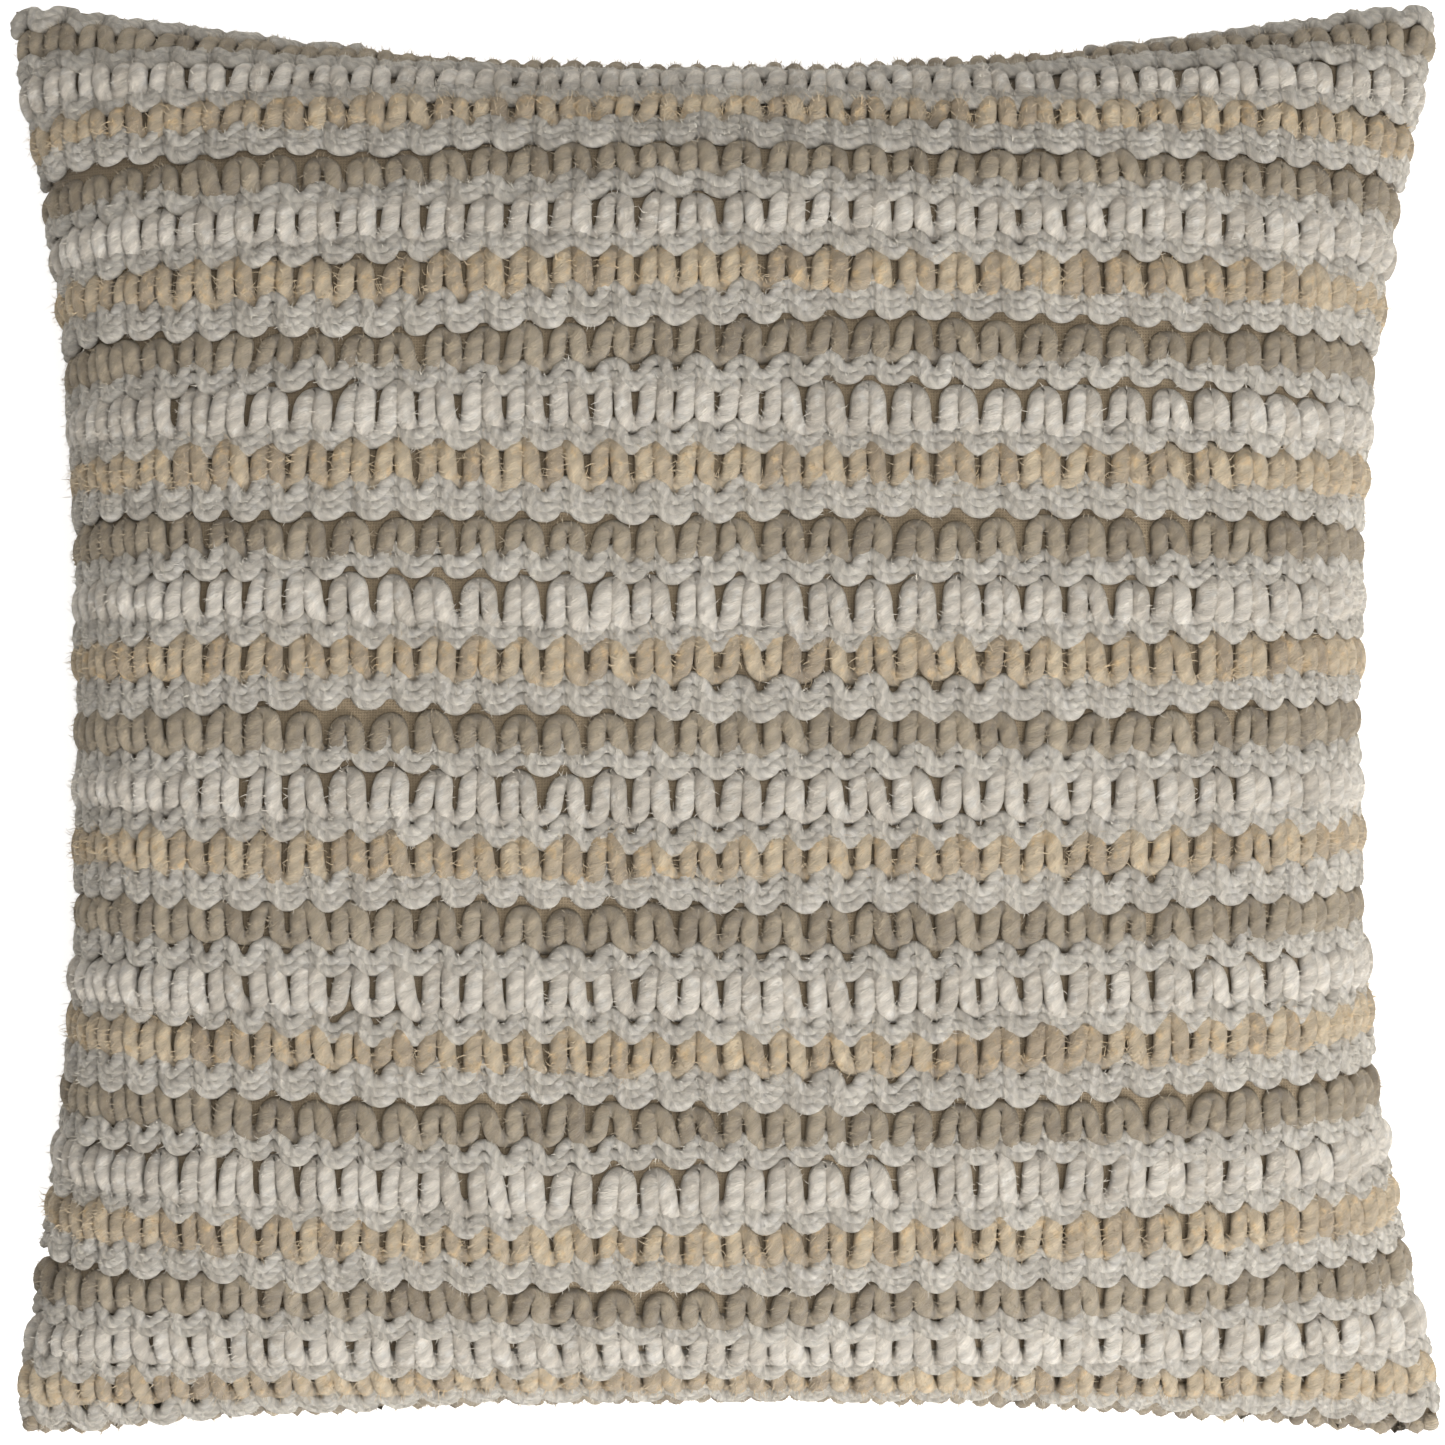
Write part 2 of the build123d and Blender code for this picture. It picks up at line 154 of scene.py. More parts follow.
def relaxed(grid, rounds):
    """Grid without its small wrinkles: made symmetrical, and averaged with its neighbours. The
    square of the height is what is averaged, which keeps the steep fall at the rim."""
    grid = (grid + grid[:, ::-1] * [-1, 1, 1]) / 2
    grid = (grid + grid[::-1] * [1, -1, 1]) / 2
    grid[..., 2] = grid[..., 2] ** 2
    for _ in range(rounds):
        for rim in (grid[0], grid[-1], grid[:, 0], grid[:, -1]):
            rim[1:-1] = 0.5 * rim[1:-1] + 0.25 * (rim[:-2] + rim[2:])
        inner = grid[1:-1, :-2] + grid[1:-1, 2:] + grid[:-2, 1:-1] + grid[2:, 1:-1]
        grid[1:-1, 1:-1] = 0.5 * grid[1:-1, 1:-1] + 0.125 * inner
    grid[..., 2] = np.sqrt(grid[..., 2])
    return grid


def outline(u, v, edge, ear):
    """Plan position on the pillow's outline for a point of the flat rim, u and v from -1 to 1."""
    reach, reach_top = EAR - ear, EAR_TOP - ear
    x = (HALF_WIDTH - edge + (reach - HALF_WIDTH + edge) * np.abs(v) ** SIDE_POWER) * u
    x = x - MIDDLE_SHIFT + EAR_SHIFT * v * v * (1 - EAR_SHIFT_TILT * v)
    y = (HALF_HEIGHT - edge + (reach_top - HALF_HEIGHT + edge) * u * u) * v - DROP * (1 - u * u)
    pull = CORNER_PULL * np.clip((np.abs(u) + np.abs(v) - CORNER_START) / CORNER_SPAN, 0, 1) ** 2
    return x - np.sign(u) * pull, y - np.sign(v) * pull


def fitted(grid, edge, ear, rise, base):
    """The inflated grid moved so that its rim lies on the outline at the base height and its
    crown stands at the rise, with the shape between them kept."""
    count = len(grid)
    t = np.linspace(-1, 1, count)
    u, v = np.meshgrid(t, t)
    x, y = outline(u, v, edge, ear)
    move = np.stack([x, y, np.zeros_like(x)], -1) - grid * [1, 1, 0]
    p = ((t + 1) / 2)[None, :, None]
    q = ((t + 1) / 2)[:, None, None]
    sides = (1 - p) * move[:, :1] + p * move[:, -1:]
    ends = (1 - q) * move[:1] + q * move[-1:]
    corners = (1 - p) * (1 - q) * move[0, 0] + p * (1 - q) * move[0, -1]
    corners = corners + (1 - p) * q * move[-1, 0] + p * q * move[-1, -1]
    out = grid + sides + ends - corners
    height = np.abs(grid[..., 2]) * (1 - np.maximum(np.abs(u), np.abs(v)) ** RIM_SHARPNESS)
    height = height / height.max()
    out[..., 2] = base + rise * height
    return out


def settled_flat(grid, floor, softness=5.0):
    """Grid that flattens where it would go under the floor."""
    out = grid.copy()
    above = (grid[..., 2] - floor) / softness
    out[..., 2] = floor + softness * np.logaddexp(0, above)
    return out


bag_front, bag_back = inflated(BAG_CELLS, BAG_FRAMES)
bag_front = relaxed(bag_front, SMOOTHING_ROUNDS)
bag_back = relaxed(bag_back, SMOOTHING_ROUNDS)


# ---------------------------------------------------------------- maps from cloth to pillow


def cubic_weights(t):
    """Weights of four neighbours for a smooth curve through the middle two."""
    return np.stack(
        [
            -0.5 * t + t * t - 0.5 * t**3,
            1 - 2.5 * t * t + 1.5 * t**3,
            0.5 * t + 2 * t * t - 1.5 * t**3,
            -0.5 * t * t + 0.5 * t**3,
        ],
        -1,
    )


class ClothMap:
    """Position and outward normal on the pillow for places on the flat cloth."""

    def __init__(self, grid, side):
        self.grid = np.pad(grid, ((1, 1), (1, 1), (0, 0)), mode="reflect", reflect_type="odd")
        self.cells = len(grid) - 1
        self.side = side

    def place(self, across, up):
        """Position for flat coordinates in millimetres."""
        s = np.clip((np.asarray(across, float) / HALF + 1) / 2, 0, 1) * self.cells
        t = np.clip((np.asarray(up, float) / HALF + 1) / 2, 0, 1) * self.cells
        i = np.minimum(s.astype(int), self.cells - 1)
        j = np.minimum(t.astype(int), self.cells - 1)
        weights_i, weights_j = cubic_weights(s - i), cubic_weights(t - j)
        out = 0
        for row in range(4):
            line = 0
            for column in range(4):
                line = line + self.grid[j + row, i + column] * weights_i[..., column, None]
            out = out + line * weights_j[..., row, None]
        return out

    def normal(self, across, up, step=3.0):
        """Outward normal, from places a step away on each side."""
        left = self.place(np.asarray(across) - step, up)
        right = self.place(np.asarray(across) + step, up)
        low = self.place(across, np.asarray(up) - step)
        high = self.place(across, np.asarray(up) + step)
        normal = np.cross(right - left, high - low) * self.side
        return normal / np.linalg.norm(normal, axis=-1, keepdims=True)

    def lifted(self, across, up, height):
        """Position a height outside the cloth."""
        normal = self.normal(across, up)
        return self.place(across, up) + normal * np.asarray(height)[..., None], normal


ROW_THICKNESS = 6.4  # from the cloth under the rows to their crown
BACK_FLOOR = 0.2  # the back flattens at this height

ground_grid = fitted(bag_front, COVER_EDGE, COVER_EAR, FRONT_RISE - ROW_THICKNESS, SEAM_Z)
ground = ClothMap(ground_grid, 1)
back_grid = settled_flat(fitted(bag_back, COVER_EDGE, COVER_EAR, -BACK_RISE, SEAM_Z), BACK_FLOOR)
back = ClothMap(back_grid, -1)


# ---------------------------------------------------------------- mesh making

UV_LENGTH = 10.0  # length of strand in one unit of its uv


def add_object(name, mesh):
    """Object for a finished mesh, riding on the pillow."""
    piece = bpy.data.objects.new(name, mesh)
    bpy.context.scene.collection.objects.link(piece)
    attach(piece, "pillow")
    return piece


def quad_mesh(name, points, quads, uv=None, attributes=None):
    """Smooth mesh of quads, with points in millimetres and values kept at its points."""
    mesh = bpy.data.meshes.new(name)
    mesh.vertices.add(len(points))
    mesh.vertices.foreach_set("co", (points / 1000).astype(np.float32).ravel())
    mesh.loops.add(quads.size)
    mesh.loops.foreach_set("vertex_index", quads.astype(np.int32).ravel())
    mesh.polygons.add(len(quads))
    mesh.polygons.foreach_set("loop_start", np.arange(0, quads.size, 4, dtype=np.int32))
    mesh.update(calc_edges=True)
    mesh.polygons.foreach_set("use_smooth", np.ones(len(quads), bool))
    if uv is not None:
        layer = mesh.uv_layers.new(name="UVMap")
        layer.data.foreach_set("uv", uv[quads.ravel()].astype(np.float32).ravel())
    for key, values in (attributes or {}).items():
        attribute = mesh.attributes.new(key, "FLOAT", "POINT")
        attribute.data.foreach_set("value", np.asarray(values, np.float32))
    mesh.update()
    return mesh


def two_sided_quads(rows, columns):
    """Quads of a thin closed sheet, whose inner points follow its outer ones, with its edge."""
    numbers = np.arange(rows * columns).reshape(rows, columns)
    shift = rows * columns
    loop = np.concatenate([numbers[0, :-1], numbers[:-1, -1], numbers[-1, :0:-1], numbers[:0:-1, 0]])
    after = np.roll(loop, -1)
    edge = np.stack([loop, loop + shift, after + shift, after], -1)
    return np.vstack([grid_quads(numbers), grid_quads(numbers + shift)[:, ::-1], edge])


def tube(path, normals, radius, sides, flatten=1.0):
    """Points, quads and uv of a round strand along a path, and each point's place in the path.
    Normals say which way is outward."""
    count = len(path)
    radius = np.broadcast_to(radius, count)
    tangent = np.gradient(path, axis=0)
    tangent /= np.linalg.norm(tangent, axis=1, keepdims=True) + 1e-9
    sideways = np.cross(tangent, normals)
    sideways /= np.linalg.norm(sideways, axis=1, keepdims=True) + 1e-9
    outward = np.cross(sideways, tangent)
    angle = np.linspace(0, 2 * np.pi, sides, endpoint=False)
    ring = (
        np.cos(angle)[None, :, None] * sideways[:, None]
        + flatten * np.sin(angle)[None, :, None] * outward[:, None]
    )
    points = path[:, None] + ring * radius[:, None, None]
    numbers = np.arange(count * sides).reshape(count, sides)
    wrapped = np.concatenate([numbers, numbers[:, :1]], 1)
    quads = grid_quads(wrapped)[:, ::-1]
    length = np.concatenate([[0], np.cumsum(np.linalg.norm(np.diff(path, axis=0), axis=1))])
    turn = (np.arange(sides) / sides + 0.25) % 1  # counted from the underside
    uv = np.stack([np.repeat(length / UV_LENGTH, sides), np.tile(turn, count)], -1)
    return points.reshape(-1, 3), quads, uv, np.repeat(np.arange(count), sides)


class Strands:
    """Several strands gathered into one mesh."""

    def __init__(self):
        self.points, self.quads, self.uv, self.tone, self.painted_shade = [], [], [], [], []
        self.count = 0

    def add(self, path, normals, radius, sides, tone, painted_shade, flatten=1.0):
        """Adds a strand. Tone and the amount of painted shade are given along its path."""
        points, quads, uv, station = tube(path, normals, radius, sides, flatten)
        tone = np.broadcast_to(tone, len(path))[station]
        painted_shade = np.broadcast_to(painted_shade, len(path))[station]
        self.add_parts(points, quads, uv, tone, painted_shade)

    def add_parts(self, points, quads, uv, tone, painted_shade):
        """Adds points and quads, with a tone and an amount of painted shade for each point."""
        self.points.append(points)
        self.quads.append(quads + self.count)
        self.uv.append(uv)
        self.tone.append(tone)
        self.painted_shade.append(painted_shade)
        self.count += len(points)

    def build(self, name, node, material):
        """Makes the piece and puts it in the place of its CAD node."""
        mesh = quad_mesh(
            name,
            np.vstack(self.points),
            np.vstack(self.quads),
            np.vstack(self.uv),
            {"tone": np.concatenate(self.tone), "painted_shade": np.concatenate(self.painted_shade)},
        )
        mesh.materials.append(material)
        piece = add_object(name, mesh)
        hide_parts(node)
        return piece


# ---------------------------------------------------------------- materials


def node_material(name):
    """Empty node material and its principled shader."""
    material = bpy.data.materials.new(name)
    material.use_nodes = True
    tree = material.node_tree
    shader = tree.nodes["Principled BSDF"]
    return material, tree, shader


def add_node(tree, kind, **values):
    """Node with its properties set by name, or its inputs where the name is one."""
    node = tree.nodes.new(kind)
    for key, value in values.items():
        if key in node.inputs:
            node.inputs[key].default_value = value
        else:
            setattr(node, key, value)
    return node


def mix_colors(tree, factor, first, second, blend="MIX"):
    """Colour mix whose three inputs are each a socket or a constant."""
    node = tree.nodes.new("ShaderNodeMix")
    node.data_type = "RGBA"
    node.blend_type = blend
    for socket, value in ((node.inputs[0], factor), (node.inputs[6], first), (node.inputs[7], second)):
        if hasattr(value, "links"):
            tree.links.new(value, socket)
        else:
            socket.default_value = value
    return node.outputs[2]


def maths(tree, operation, first, second=0.0, third=0.0):
    """Result of a maths node whose inputs are each a socket or a number."""
    node = tree.nodes.new("ShaderNodeMath")
    node.operation = operation
    for socket, value in zip(node.inputs, (first, second, third)):
        if hasattr(value, "links"):
            tree.links.new(value, socket)
        else:
            socket.default_value = value
    return node.outputs[0]


def texture(tree, kind, place, **values):
    """Result of a texture laid by a vector socket."""
    node = add_node(tree, "ShaderNodeTex" + kind, **values)
    tree.links.new(place, node.inputs["Vector"])
    return node.outputs["Fac"]


def add_bump(tree, shader, height, strength, distance):
    """Bump on a shader, from a height socket."""
    bump = add_node(tree, "ShaderNodeBump", Strength=strength, Distance=distance)
    tree.links.new(height, bump.inputs["Height"])
    tree.links.new(bump.outputs["Normal"], shader.inputs["Normal"])


def linear(red, green, blue):
    """Linear colour from sRGB values of 0 to 255."""
    out = [((c / 255 + 0.055) / 1.055) ** 2.4 for c in (red, green, blue)]
    return (*out, 1.0)


PLIES = 2.0


def yarn_material(name, light, dark, fleck, fleck_amount, shade_colour, twist):
    """Soft spun yarn: twisted plies, fibres along them, tone by stitch, and shade painted into its low
    places.
    Twist is the plies' turns in one unit of the strand's uv."""
    material, tree, shader = node_material(name)
    links = tree.links
    uv = tree.nodes.new("ShaderNodeUVMap")
    place = tree.nodes.new("ShaderNodeTexCoord").outputs["Object"]
    parts = tree.nodes.new("ShaderNodeSeparateXYZ")
    links.new(uv.outputs["UV"], parts.inputs[0])
    advance = maths(tree, "MULTIPLY", parts.outputs["X"], twist)
    turned = maths(tree, "MULTIPLY_ADD", parts.outputs["Y"], PLIES, advance)
    ply = maths(tree, "SINE", maths(tree, "MULTIPLY", turned, 2 * math.pi))
    ply = maths(tree, "MULTIPLY_ADD", ply, 0.5, 0.5)
    lengthwise = tree.nodes.new("ShaderNodeCombineXYZ")
    links.new(maths(tree, "MULTIPLY", parts.outputs["X"], 7.0), lengthwise.inputs["X"])
    links.new(maths(tree, "MULTIPLY", turned, 9.0), lengthwise.inputs["Y"])
    along = lengthwise.outputs["Vector"]
    fibres = texture(tree, "Noise", along, Scale=1.6, Detail=4.0, Roughness=0.7, Distortion=0.6)
    patches = texture(tree, "Noise", place, Scale=38.0, Detail=3.0, Roughness=0.6)
    specks = texture(tree, "Noise", place, Scale=210.0, Detail=2.0, Roughness=0.7)
    tone = add_node(tree, "ShaderNodeAttribute", attribute_name="tone")
    painted_shade = add_node(tree, "ShaderNodeAttribute", attribute_name="painted_shade")
    by_stitch = maths(tree, "MULTIPLY_ADD", tone.outputs["Fac"], 0.9, -0.4)
    mixed = maths(tree, "MULTIPLY_ADD", patches, 0.9, by_stitch)
    base = mix_colors(tree, mixed, dark, light)
    speck_map = add_node(tree, "ShaderNodeMapRange")
    speck_map.inputs["From Min"].default_value = 0.52
    speck_map.inputs["From Max"].default_value = 0.70
    speck_map.inputs["To Max"].default_value = fleck_amount
    links.new(specks, speck_map.inputs["Value"])
    base = mix_colors(tree, speck_map.outputs["Result"], base, fleck)
    # painted shade: the colour darkens in the grooves between the twisted plies, beside their bump
    ply_shade = maths(tree, "MULTIPLY_ADD", ply, 0.24, 0.84)
    fibre_shade = maths(tree, "MULTIPLY_ADD", fibres, 0.9, 0.58)
    shade = maths(tree, "MULTIPLY", ply_shade, fibre_shade)
    grey = tree.nodes.new("ShaderNodeCombineColor")
    for socket in grey.inputs:
        links.new(shade, socket)
    base = mix_colors(tree, 1.0, base, grey.outputs["Color"], "MULTIPLY")
    # painted shade: the colour turns towards the yarn's darkest colour where the strand lies low between
    # others
    base = mix_colors(tree, painted_shade.outputs["Fac"], base, shade_colour)
    links.new(base, shader.inputs["Base Color"])
    height = maths(tree, "MULTIPLY_ADD", ply, 0.8, maths(tree, "MULTIPLY", fibres, 1.6))
    add_bump(tree, shader, height, 1.0, 0.0014)
    links.new(maths(tree, "MULTIPLY_ADD", fibres, 0.12, 0.84), shader.inputs["Roughness"])
    shader.inputs["Specular IOR Level"].default_value = 0.18
    shader.inputs["Sheen Weight"].default_value = 0.25
    shader.inputs["Sheen Roughness"].default_value = 0.6
    return material


def cloth_material(name, light, dark, scale, depth=0.0004, sheen=0.15):
    """Plain woven cloth: crossing threads and patches of tone."""
    material, tree, shader = node_material(name)
    links = tree.links
    place = tree.nodes.new("ShaderNodeTexCoord").outputs["Object"]
    weaves = []
    for direction in ("X", "Y"):
        detail = {"Detail": 2.0, "Detail Scale": 1.4}
        wave = texture(
            tree, "Wave", place, bands_direction=direction, Scale=scale, Distortion=1.2, **detail
        )
        weaves.append(wave)
    checks = texture(tree, "Checker", place, Scale=scale * 1.9)
    crossing = maths(tree, "MULTIPLY", maths(tree, "MAXIMUM", weaves[0], weaves[1]), 0.78)
    threads = maths(tree, "MULTIPLY_ADD", checks, 0.22, crossing)
    patches = texture(tree, "Noise", place, Scale=24.0, Detail=4.0, Roughness=0.6)
    fine = texture(tree, "Noise", place, Scale=700.0, Detail=2.0)
    by_patch = maths(tree, "MULTIPLY", patches, 0.5)
    factor = maths(tree, "MULTIPLY_ADD", threads, 0.55, by_patch)
    base = mix_colors(tree, factor, dark, light)
    links.new(base, shader.inputs["Base Color"])
    add_bump(tree, shader, maths(tree, "MULTIPLY_ADD", fine, 0.5, threads), 0.6, depth)
    links.new(maths(tree, "MULTIPLY_ADD", fine, 0.2, 0.76), shader.inputs["Roughness"])
    shader.inputs["Specular IOR Level"].default_value = 0.2
    shader.inputs["Sheen Weight"].default_value = sheen
    return material


def fibre_material(name):
    """Loose white filling: clumped fibres."""
    material, tree, shader = node_material(name)
    links = tree.links
    place = tree.nodes.new("ShaderNodeTexCoord").outputs["Object"]
    clumps = texture(tree, "Noise", place, Scale=60.0, Detail=8.0, Roughness=0.7, Distortion=1.5)
    base = mix_colors(tree, clumps, linear(206, 205, 202), linear(250, 250, 249))
    links.new(base, shader.inputs["Base Color"])
    add_bump(tree, shader, clumps, 0.9, 0.003)
    links.new(maths(tree, "MULTIPLY_ADD", clumps, 0.2, 0.78), shader.inputs["Roughness"])
    shader.inputs["Sheen Weight"].default_value = 0.4
    return material


def metal_material(name):
    """Antique brass plating: brushed, and darker in patches."""
    material, tree, shader = node_material(name)
    links = tree.links
    place = tree.nodes.new("ShaderNodeTexCoord").outputs["Object"]
    patches = texture(tree, "Noise", place, Scale=420.0, Detail=5.0, Roughness=0.65)
    brushed = texture(tree, "Wave", place, bands_direction="Z", Scale=1500.0, Distortion=6.0)
    base = mix_colors(tree, patches, linear(112, 92, 62), linear(186, 160, 116))
    links.new(base, shader.inputs["Base Color"])
    add_bump(tree, shader, brushed, 0.25, 0.0001)
    links.new(maths(tree, "MULTIPLY_ADD", patches, 0.3, 0.2), shader.inputs["Roughness"])
    shader.inputs["Metallic"].default_value = 1.0
    return material


# The darkest colour given to each yarn is the painted shade that its low places turn towards.
ivory_yarn = yarn_material(
    "ivory_yarn",
    light=linear(238, 229, 214),
    dark=linear(204, 193, 176),
    fleck=linear(245, 241, 232),
    fleck_amount=0.5,
    shade_colour=linear(112, 98, 80),
    twist=2.2,
)
jute_yarn = yarn_material(
    "jute_yarn",
    light=linear(216, 196, 163),
    dark=linear(172, 152, 124),
    fleck=linear(224, 192, 142),
    fleck_amount=0.75,
    shade_colour=linear(98, 80, 60),
    twist=1.9,
)
khaki_yarn = yarn_material(
    "khaki_yarn",
    light=linear(184, 168, 142),
    dark=linear(146, 130, 106),
    fleck=linear(196, 178, 148),
    fleck_amount=0.5,
    shade_colour=linear(92, 78, 60),
    twist=2.0,
)
grey_yarn = yarn_material(
    "grey_yarn",
    light=linear(224, 216, 201),
    dark=linear(188, 179, 164),
    fleck=linear(240, 234, 224),
    fleck_amount=0.5,
    shade_colour=linear(108, 97, 82),
    twist=2.8,
)
ground_cloth = cloth_material("ground_cloth", linear(142, 127, 104), linear(106, 92, 73), 330.0, 0.0006)
back_cloth = cloth_material("back_cloth", linear(164, 150, 126), linear(122, 108, 87), 300.0, 0.0006)
ticking = cloth_material("ticking", linear(240, 238, 233), linear(212, 208, 200), 420.0, 0.0003)
thread = cloth_material("thread", linear(188, 176, 156), linear(150, 138, 118), 900.0, 0.0002)
label_cloth = cloth_material("label_cloth", linear(238, 236, 230), linear(218, 214, 206), 800.0, 0.0001, 0.4)
tape_cloth = cloth_material("tape_cloth", linear(182, 166, 138), linear(146, 130, 104), 620.0, 0.0003)
coil_plastic = cloth_material("coil_plastic", linear(170, 154, 126), linear(148, 132, 106), 1100.0, 0.0001)
filling_fibre = fibre_material("filling_fibre")
brass = metal_material("brass")


# ---------------------------------------------------------------- woven rows

STEPS = 24  # points along one stitch
RIM_CLEARANCE = 0.3  # the middle of a strand comes no nearer than this to the cloth's rim
FLATTENING = 0.92  # a strand's thickness over its width
LEG_POWER = 0.8  # below 1, which holds the legs' ends long at the top and bottom of a row
HEIGHT_SPREAD = 0.7
RIM_ZONE = 7.0  # strands lie lower than elsewhere this near the side seams
RIM_HEIGHT = 0.8  # share of their height that they keep at the seam

LEFT_DROOP = 4.3  # a row's left end hangs this far under its middle, halfway up the pillow
LEFT_TILT = 2.5  # and by this much less at the top edge and more at the bottom
LEFT_EDGE_DROOP = 7.5  # and by this much more at both
RIGHT_DROOP = 0.8
RIGHT_EDGE_DROOP = 9.0

ZIP_HALF_MOUTH = 5.4  # how far each lip of the zip's opening stands from the seam
MOUTH_LEFT = 192.0  # how far the opening reaches to the left
MOUTH_RIGHT = 184.0  # and to the right
MOUTH_TAPER = 12.0  # length in which it closes at each end
ZIP_SHARE = 0.93  # plan width of the pillow over the cloth's, along the zip
ROW_CLEARANCE = 0.9  # the lowest row stays this share of the lip's height away from the zip
LIP_TOP = 22.0  # rows nearer than this to the bottom edge rise with the lip
LIP_RAMP = 14.0  # and rise fully this much further down


def smooth_noise(places, spacing, seed):
    """Smooth random values along a row, about from -1 to 1. Spacing is the length between two of
    the random values."""
    source = np.random.default_rng(seed)
    count = int(FLAT / spacing) + 6
    values = source.uniform(-1, 1, count)
    position = (np.asarray(places) + HALF) / spacing + 1.5
    index = np.clip(position.astype(int), 1, count - 3)
    weights = cubic_weights(np.clip(position - index, 0, 1))
    out = 0
    for k in range(4):
        out = out + values[index - 1 + k] * weights[..., k]
    return out


def mouth(x):
    """How far a lip of the zip's opening stands from the seam, for a place along it."""
    left = np.clip((x + MOUTH_LEFT) / MOUTH_TAPER, 0, 1)
    right = np.clip((MOUTH_RIGHT - x) / MOUTH_TAPER, 0, 1)
    share = np.minimum(left, right)
    return ZIP_HALF_MOUTH * share * share * (3 - 2 * share)


def row_line(centre, across, seed):
    """Height on the cloth of a row's middle line, whose ends droop and which wavers."""
    side = across / HALF
    up = centre / HALF
    left = LEFT_DROOP + LEFT_EDGE_DROOP * up**2 - LEFT_TILT * up
    right = RIGHT_DROOP + RIGHT_EDGE_DROOP * up**2
    waver = 1.8 * smooth_noise(across, 90, seed) + 1.0 * smooth_noise(across, 31, seed + 1)
    return centre - np.where(side < 0, left, right) * side**2 + waver


def stitched(centre, reach, radius, lift, bulge, seed, dips, upright, pressed, jog, span=(0, STITCHES)):
    """Path of a serpentine strand, whose legs go up and down the row. Lift is its height over the
    cloth, bulge how much higher it stands at the middle of a leg, and dips how far it sinks at the
    bottom and at the top of each stitch. Upright says how straight its legs stand, pressed how far
    the legs of an arch lean together, and jog how much they vary."""
    first, last = span
    stitch = np.linspace(first, last, (last - first) * STEPS + 1)
    phase = stitch * 2 * np.pi
    swing = np.cos(phase)
    across = -HALF + stitch * PITCH + upright * np.sin(2 * phase) + pressed * np.sin(phase)
    lean = smooth_noise(across, 16, seed + 6)
    across = across + jog * (smooth_noise(across, 17, seed + 2) + 0.9 * lean * swing)
    across = np.clip(across, -HALF + RIM_CLEARANCE, HALF - RIM_CLEARANCE)
    local_reach = reach * (1 + 0.18 * smooth_noise(across, 15, seed + 3))
    square = np.sign(swing) * np.abs(swing) ** LEG_POWER
    up = row_line(centre, across, seed) - local_reach * square
    height = lift + bulge * (1 - swing**2)
    height = height - dips[0] * np.clip(square, 0, 1) ** 2 - dips[1] * np.clip(-square, 0, 1) ** 2
    height = height + HEIGHT_SPREAD * smooth_noise(across, 12, seed + 4)
    side_room = np.clip((HALF - np.abs(across)) / RIM_ZONE, 0, 1)
    height = height * (RIM_HEIGHT + (1 - RIM_HEIGHT) * side_room)
    open_lip = mouth(across * ZIP_SHARE)
    up = np.clip(up, -HALF + RIM_CLEARANCE + ROW_CLEARANCE * open_lip, HALF - RIM_CLEARANCE)
    path, normals = ground.lifted(across, up, height)
    path[:, 2] += open_lip * np.clip((-HALF + LIP_TOP - up) / LIP_RAMP, 0, 1)
    lumps = 0.09 * smooth_noise(across, 11, seed + 5) + 0.07 * smooth_noise(stitch * 9 - 160, 5, seed + 8)
    thickness = radius * (1 + lumps)
    thickness = thickness * np.clip(np.minimum(stitch - first, last - stitch) * 9, 0.02, 1)
    return path, normals, thickness, stitch, height


def stitch_tone(stitch, seed):
    """A random tone for every leg, from 0 to 1."""
    legs = np.random.default_rng(seed).uniform(0, 1, 2 * STITCHES + 1)
    return legs[(stitch * 2).astype(int)]


HAIR_STATIONS = (0.0, 0.35, 0.7, 1.0)  # shares of a hair's length, from its root
HAIR_RADII = (0.14, 0.12, 0.09, 0.03)
HAIR_SIDES = 3
HAIR_POINTS = len(HAIR_STATIONS) * HAIR_SIDES


def add_fuzz(strands, path, normals, thickness, seed, amount, reach):
    """Short loose fibres that stand off a strand, with lengths about their reach."""
    source = np.random.default_rng(seed)
    starts = source.integers(2, len(path) - 3, amount)
    along = path[starts + 1] - path[starts - 1]
    along = along / (np.linalg.norm(along, axis=1, keepdims=True) + 1e-9)
    across = np.cross(along, normals[starts])
    turn = source.uniform(-1.3, 1.3, (amount, 1))
    out = normals[starts] * np.cos(turn) + across * np.sin(turn)
    drift = along * source.uniform(-1.8, 1.8, (amount, 1)) + across * source.uniform(-1, 1, (amount, 1))
    length = reach * source.uniform(0.4, 1.3, (amount, 1, 1))
    root = path[starts] + out * thickness[starts][:, None] * 0.85
    steps = np.array(HAIR_STATIONS)[None, :, None]
    hair = root[:, None] + length * (out[:, None] * steps + 0.5 * drift[:, None] * steps**2)
    angle = np.arange(HAIR_SIDES) * 2 * np.pi / HAIR_SIDES
    ring = along[:, None] * np.cos(angle)[None, :, None] + across[:, None] * np.sin(angle)[None, :, None]
    radius = np.array(HAIR_RADII)[None, :, None, None]
    points = (hair[:, :, None] + radius * ring[:, None]).reshape(-1, 3)
    numbers = np.arange(HAIR_POINTS).reshape(-1, HAIR_SIDES)
    one_hair = grid_quads(np.concatenate([numbers, numbers[:, :1]], 1))
    quads = (one_hair[None] + HAIR_POINTS * np.arange(amount)[:, None, None]).reshape(-1, 4)
    tone = np.repeat(source.uniform(0.3, 1.2, amount), HAIR_POINTS)
    strands.add_parts(points, quads, np.zeros((len(points), 2)), tone, np.zeros(len(points)))


ROW_SIDES = 10
ROW_HAIRS = 60  # loose hairs on each stitch of a coloured row
CHAIN_SIDES = 8
CHAIN_HAIRS = 18  # and on each stitch of a chain strand
CHAIN_FUZZ = 1.5


